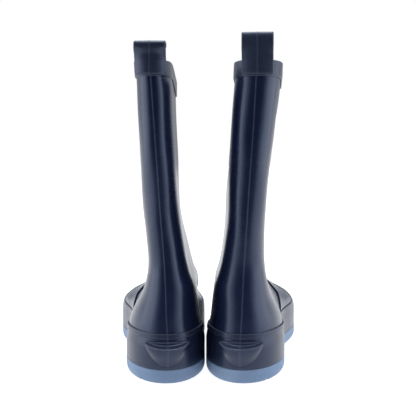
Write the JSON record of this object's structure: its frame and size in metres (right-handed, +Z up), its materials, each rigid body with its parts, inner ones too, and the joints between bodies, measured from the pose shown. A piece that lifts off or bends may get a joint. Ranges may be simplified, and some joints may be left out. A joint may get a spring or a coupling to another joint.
{
  "type": "deck boots",
  "caption": "Pair of tall rubber deck boots with pull loops, collar bands, heel lugs for pushing them off, raised foot trim and pale soles.",
  "frame": {"origin": "centre of the pair's bounding box, on the ground under the soles", "axes": "+Z up, +Y from the heels towards the toes, +X towards the right boot"},
  "size_m": [0.2194, 0.2962, 0.3574],
  "materials": {
    "navy_rubber": "satin navy rubber",
    "navy_trim": "satin navy rubber trim",
    "pale_sole_rubber": "matt pale blue rubber",
    "knit_lining": "knitted cloth",
    "sole_foam": "foam rubber",
    "footbed_foam": "cloth covered foam",
    "board": "fibre board"
  },
  "bodies": {
    "left_boot": {"left_outsole": "pale_sole_rubber", "left_midsole": "sole_foam", "left_insole_board": "board", "left_footbed": "footbed_foam", "left_foot_shell": "navy_rubber", "left_leg_shell": "navy_rubber", "left_lining_sock": "knit_lining", "left_trim_strip": "navy_trim", "left_instep_panel": "navy_rubber", "left_heel_lug": "navy_trim", "left_top_band": "navy_trim", "left_loop_outer_tail": "navy_trim", "left_loop_inner_tail": "navy_trim"},
    "left_loop": {"left_pull_loop": "navy_trim"},
    "right_boot": {"right_outsole": "pale_sole_rubber", "right_midsole": "sole_foam", "right_insole_board": "board", "right_footbed": "footbed_foam", "right_foot_shell": "navy_rubber", "right_leg_shell": "navy_rubber", "right_lining_sock": "knit_lining", "right_trim_strip": "navy_trim", "right_instep_panel": "navy_rubber", "right_heel_lug": "navy_trim", "right_top_band": "navy_trim", "right_loop_outer_tail": "navy_trim", "right_loop_inner_tail": "navy_trim"},
    "right_loop": {"right_pull_loop": "navy_trim"}
  },
  "joints": [
    {"name": "right_boot_lift", "type": "slide", "parent": "left_boot", "child": "right_boot", "axis": [0, 0, 1], "range_m": [0, 0.45]},
    {"name": "left_loop_flex", "type": "hinge", "parent": "left_boot", "child": "left_loop", "pos_m": [-0.05986, -0.13761, 0.3359], "axis": [0.9995, -0.0314, 0], "range_deg": [-65, 65], "stiffness_Nm_per_rad": 0.03},
    {"name": "right_loop_flex", "type": "hinge", "parent": "right_boot", "child": "right_loop", "pos_m": [0.0483, -0.13762, 0.3359], "axis": [0.9945, -0.1045, 0], "range_deg": [-65, 65], "stiffness_Nm_per_rad": 0.03}
  ]
}
